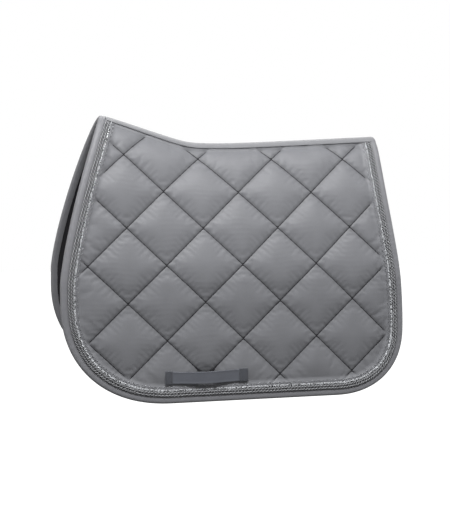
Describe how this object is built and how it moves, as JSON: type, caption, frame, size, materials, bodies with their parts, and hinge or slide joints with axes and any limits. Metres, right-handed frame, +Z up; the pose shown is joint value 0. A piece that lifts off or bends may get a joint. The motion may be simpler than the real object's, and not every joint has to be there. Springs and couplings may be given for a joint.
{
  "type": "saddle pad",
  "caption": "Quilted full-size horse saddle pad with a bound, corded edge and a webbing girth loop on each flap, its flaps folding at the sides.",
  "frame": {"origin": "underside of the spine seam, halfway along the pad, where it rests on the horse's back", "axes": "+X to the horse's tail, -Y to the horse's left, +Z up"},
  "size_m": [0.712, 0.3112, 0.566],
  "materials": {
    "shell": "satin weave, quilted in diamonds",
    "wadding": "soft fibre",
    "lining": "matte brushed",
    "binding": "satin twill tape",
    "cord": "lustrous twisted cord",
    "crystals": "silver crystal trim",
    "webbing": "satin woven webbing",
    "tape": "satin twill tape"
  },
  "bodies": {
    "back_section": {"back_binding_front": "binding", "back_binding_rear_left": "binding", "back_binding_rear_right": "binding", "back_cord_inner_front_left": "cord", "back_cord_inner_front_right": "cord", "back_cord_inner_rear_left": "cord", "back_cord_inner_rear_right": "cord", "back_cord_outer_front_left": "cord", "back_cord_outer_front_right": "cord", "back_cord_outer_rear_left": "cord", "back_cord_outer_rear_right": "cord", "back_crystals_front_left": "crystals", "back_crystals_front_right": "crystals", "back_crystals_rear_left": "crystals", "back_crystals_rear_right": "crystals", "back_lining_left": "lining", "back_lining_right": "lining", "back_shell_left": "shell", "back_shell_right": "shell", "back_wadding_left": "wadding", "back_wadding_right": "wadding", "spine_tape": "tape", "spine_tape_inner": "tape"},
    "left_flap": {"flap_binding_left": "binding", "flap_cord_inner_left": "cord", "flap_cord_outer_left": "cord", "flap_crystals_left": "crystals", "flap_lining_left": "lining", "flap_shell_left": "shell", "flap_wadding_left": "wadding", "girth_loop_left": "webbing", "loop_tack_front_left": "webbing", "loop_tack_rear_left": "webbing"},
    "right_flap": {"flap_binding_right": "binding", "flap_cord_inner_right": "cord", "flap_cord_outer_right": "cord", "flap_crystals_right": "crystals", "flap_lining_right": "lining", "flap_shell_right": "shell", "flap_wadding_right": "wadding", "girth_loop_right": "webbing", "loop_tack_front_right": "webbing", "loop_tack_rear_right": "webbing"}
  },
  "joints": [
    {"name": "left_flap_fold", "type": "hinge", "parent": "back_section", "child": "left_flap", "pos_m": [0, -0.13118, -0.26126], "axis": [-1, 0, 0], "range_deg": [-30, 95]},
    {"name": "right_flap_fold", "type": "hinge", "parent": "back_section", "child": "right_flap", "pos_m": [0, 0.13118, -0.26126], "axis": [1, 0, 0], "range_deg": [-30, 95]}
  ]
}
